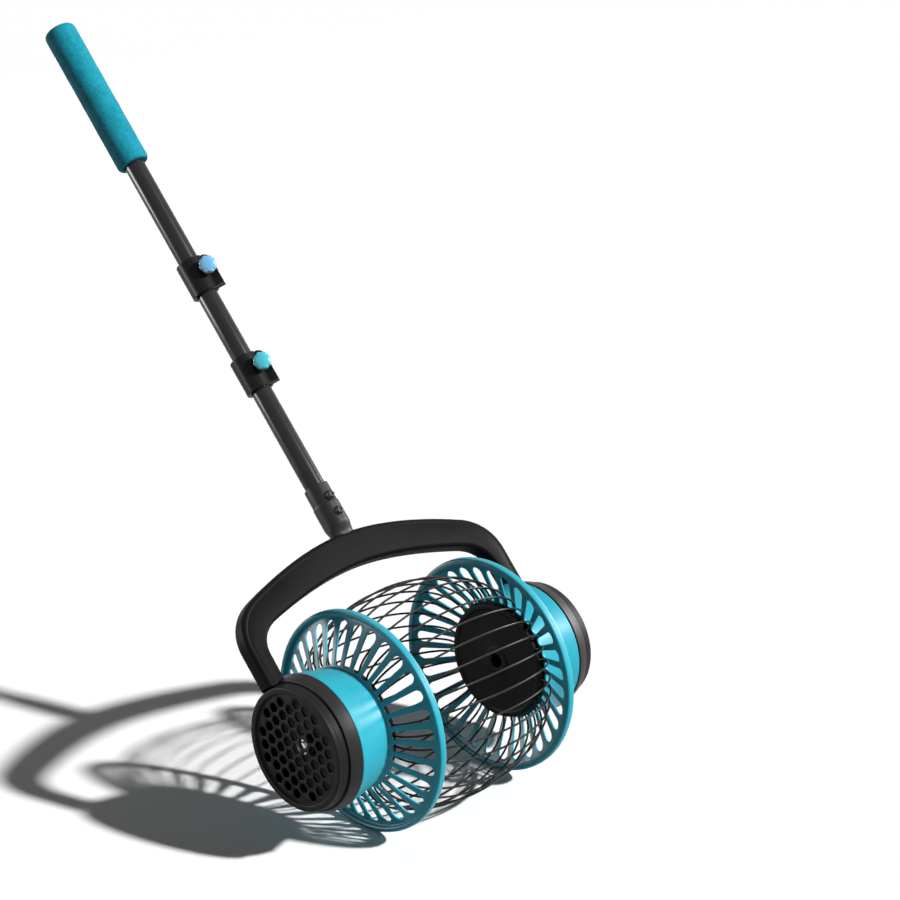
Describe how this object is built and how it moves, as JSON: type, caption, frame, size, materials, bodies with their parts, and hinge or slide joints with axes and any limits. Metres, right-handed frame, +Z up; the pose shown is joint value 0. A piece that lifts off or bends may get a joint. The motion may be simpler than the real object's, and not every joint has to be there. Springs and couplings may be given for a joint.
{
  "type": "tennis ball roller collector",
  "caption": "Rolling ball collector: a cage of bowed wires between slotted wheels, pushed by a yoke and a jointed pole with a foam grip.",
  "frame": {"origin": "the middle of the bounding box's base, on the floor that the wheels stand on", "axes": "+X along the axle, the pole leans back towards +Y at 43 degrees from upright, +Z up"},
  "size_m": [0.461, 0.8619, 0.9218],
  "materials": {
    "black_plastic": "satin",
    "blue_plastic": "satin",
    "knob_plastic": "satin",
    "pole_paint": "satin",
    "steel": "satin",
    "black_steel": "satin",
    "bronze": "satin",
    "grip_foam": "matte",
    "wire_paint": "satin"
  },
  "bodies": {
    "frame": {"yoke_frame": "black_plastic", "left_grille_cover": "black_plastic", "right_grille_cover": "black_plastic", "left_axle_bolt": "steel", "right_axle_bolt": "steel", "upper_socket_bolt": "black_steel", "lower_socket_bolt": "black_steel", "lower_pole": "pole_paint", "lower_clamp": "black_plastic", "lower_nut": "black_steel"},
    "cage": {"left_wheel": "blue_plastic", "right_wheel": "blue_plastic", "left_hub_plate": "black_plastic", "right_hub_plate": "black_plastic", "left_bush": "bronze", "right_bush": "bronze", "cage_wire_01": "wire_paint", "cage_wire_02": "wire_paint", "cage_wire_03": "wire_paint", "cage_wire_04": "wire_paint", "cage_wire_05": "wire_paint", "cage_wire_06": "wire_paint", "cage_wire_07": "wire_paint", "cage_wire_08": "wire_paint", "cage_wire_09": "wire_paint", "cage_wire_10": "wire_paint", "cage_wire_11": "wire_paint", "cage_wire_12": "wire_paint", "cage_wire_13": "wire_paint", "cage_wire_14": "wire_paint", "cage_wire_15": "wire_paint", "cage_wire_16": "wire_paint", "cage_wire_17": "wire_paint", "cage_wire_18": "wire_paint", "cage_wire_19": "wire_paint", "cage_wire_20": "wire_paint", "cage_wire_21": "wire_paint", "cage_wire_22": "wire_paint", "cage_wire_23": "wire_paint", "cage_wire_24": "wire_paint", "cage_wire_25": "wire_paint", "cage_wire_26": "wire_paint", "cage_wire_27": "wire_paint", "cage_wire_28": "wire_paint", "cage_wire_29": "wire_paint", "cage_wire_30": "wire_paint", "cage_wire_31": "wire_paint", "cage_wire_32": "wire_paint", "cage_wire_33": "wire_paint", "cage_wire_34": "wire_paint", "cage_wire_35": "wire_paint", "cage_wire_36": "wire_paint"},
    "middle_section": {"middle_pole": "pole_paint", "upper_clamp": "black_plastic", "upper_nut": "black_steel"},
    "upper_section": {"upper_pole": "pole_paint", "foam_grip": "grip_foam"},
    "lower_knob": {"lower_knob": "knob_plastic"},
    "upper_knob": {"upper_knob": "knob_plastic"}
  },
  "joints": [
    {"name": "cage_spin", "type": "hinge", "parent": "frame", "child": "cage", "pos_m": [0, -0.28501, 0.146], "axis": [1, 0, 0], "continuous": true},
    {"name": "middle_section_pull", "type": "slide", "parent": "frame", "child": "middle_section", "axis": [0, 0.682, 0.7314], "range_m": [0, 0.04]},
    {"name": "upper_section_pull", "type": "slide", "parent": "middle_section", "child": "upper_section", "axis": [0, 0.682, 0.7314], "range_m": [0, 0.04]},
    {"name": "lower_knob_turn", "type": "hinge", "parent": "frame", "child": "lower_knob", "pos_m": [0.01572, 0.02821, 0.51365], "axis": [-0.682, -0.5349, 0.4988], "range_deg": [0, 540]},
    {"name": "upper_knob_turn", "type": "hinge", "parent": "middle_section", "child": "upper_knob", "pos_m": [0.01572, 0.13153, 0.62445], "axis": [-0.682, -0.5349, 0.4988], "range_deg": [0, 540]}
  ]
}
